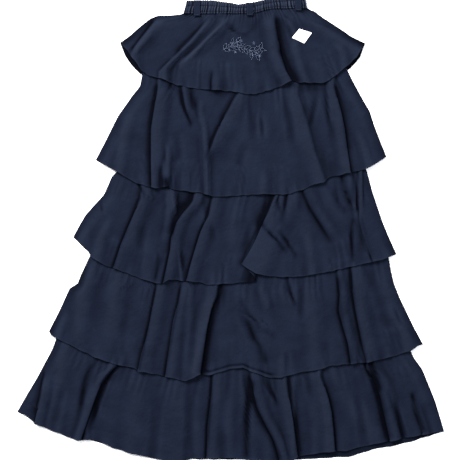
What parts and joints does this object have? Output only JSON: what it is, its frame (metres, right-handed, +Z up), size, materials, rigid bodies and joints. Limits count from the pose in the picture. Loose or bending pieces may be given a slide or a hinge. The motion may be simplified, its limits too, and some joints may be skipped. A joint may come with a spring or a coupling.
{
  "type": "tiered skirt",
  "caption": "Long tiered skirt laid flat: gathered knit tiers with free hems hang one below the other from a shirred elastic waistband with belt loops.",
  "frame": {"origin": "middle of the footprint, on the surface that the skirt lies on", "axes": "+Z up, out of the front of the skirt; +Y towards the waistband; +X towards the right of someone looking at the front"},
  "size_m": [0.8482, 0.9291, 0.0199],
  "materials": {
    "navy_knit": "matte fine knit, dark navy",
    "navy_shirred": "matte shirred knit over elastic, dark navy",
    "navy_binding": "matte folded strip, dark navy",
    "white_patch": "plain white woven patch"
  },
  "bodies": {
    "root": {"tier_1_front": "navy_knit", "tier_1_back": "navy_knit", "tier_2_front": "navy_knit", "tier_2_back": "navy_knit", "tier_3_front": "navy_knit", "tier_3_back": "navy_knit", "tier_4_front": "navy_knit", "tier_4_back": "navy_knit", "tier_5_front": "navy_knit", "tier_5_back": "navy_knit", "waistband_front": "navy_shirred", "waistband_back": "navy_shirred", "belt_loop_front_1": "navy_binding", "belt_loop_front_2": "navy_binding", "belt_loop_front_3": "navy_binding", "belt_loop_back_1": "navy_binding", "belt_loop_back_2": "navy_binding", "belt_loop_back_3": "navy_binding", "label_patch": "white_patch"}
  },
  "joints": []
}
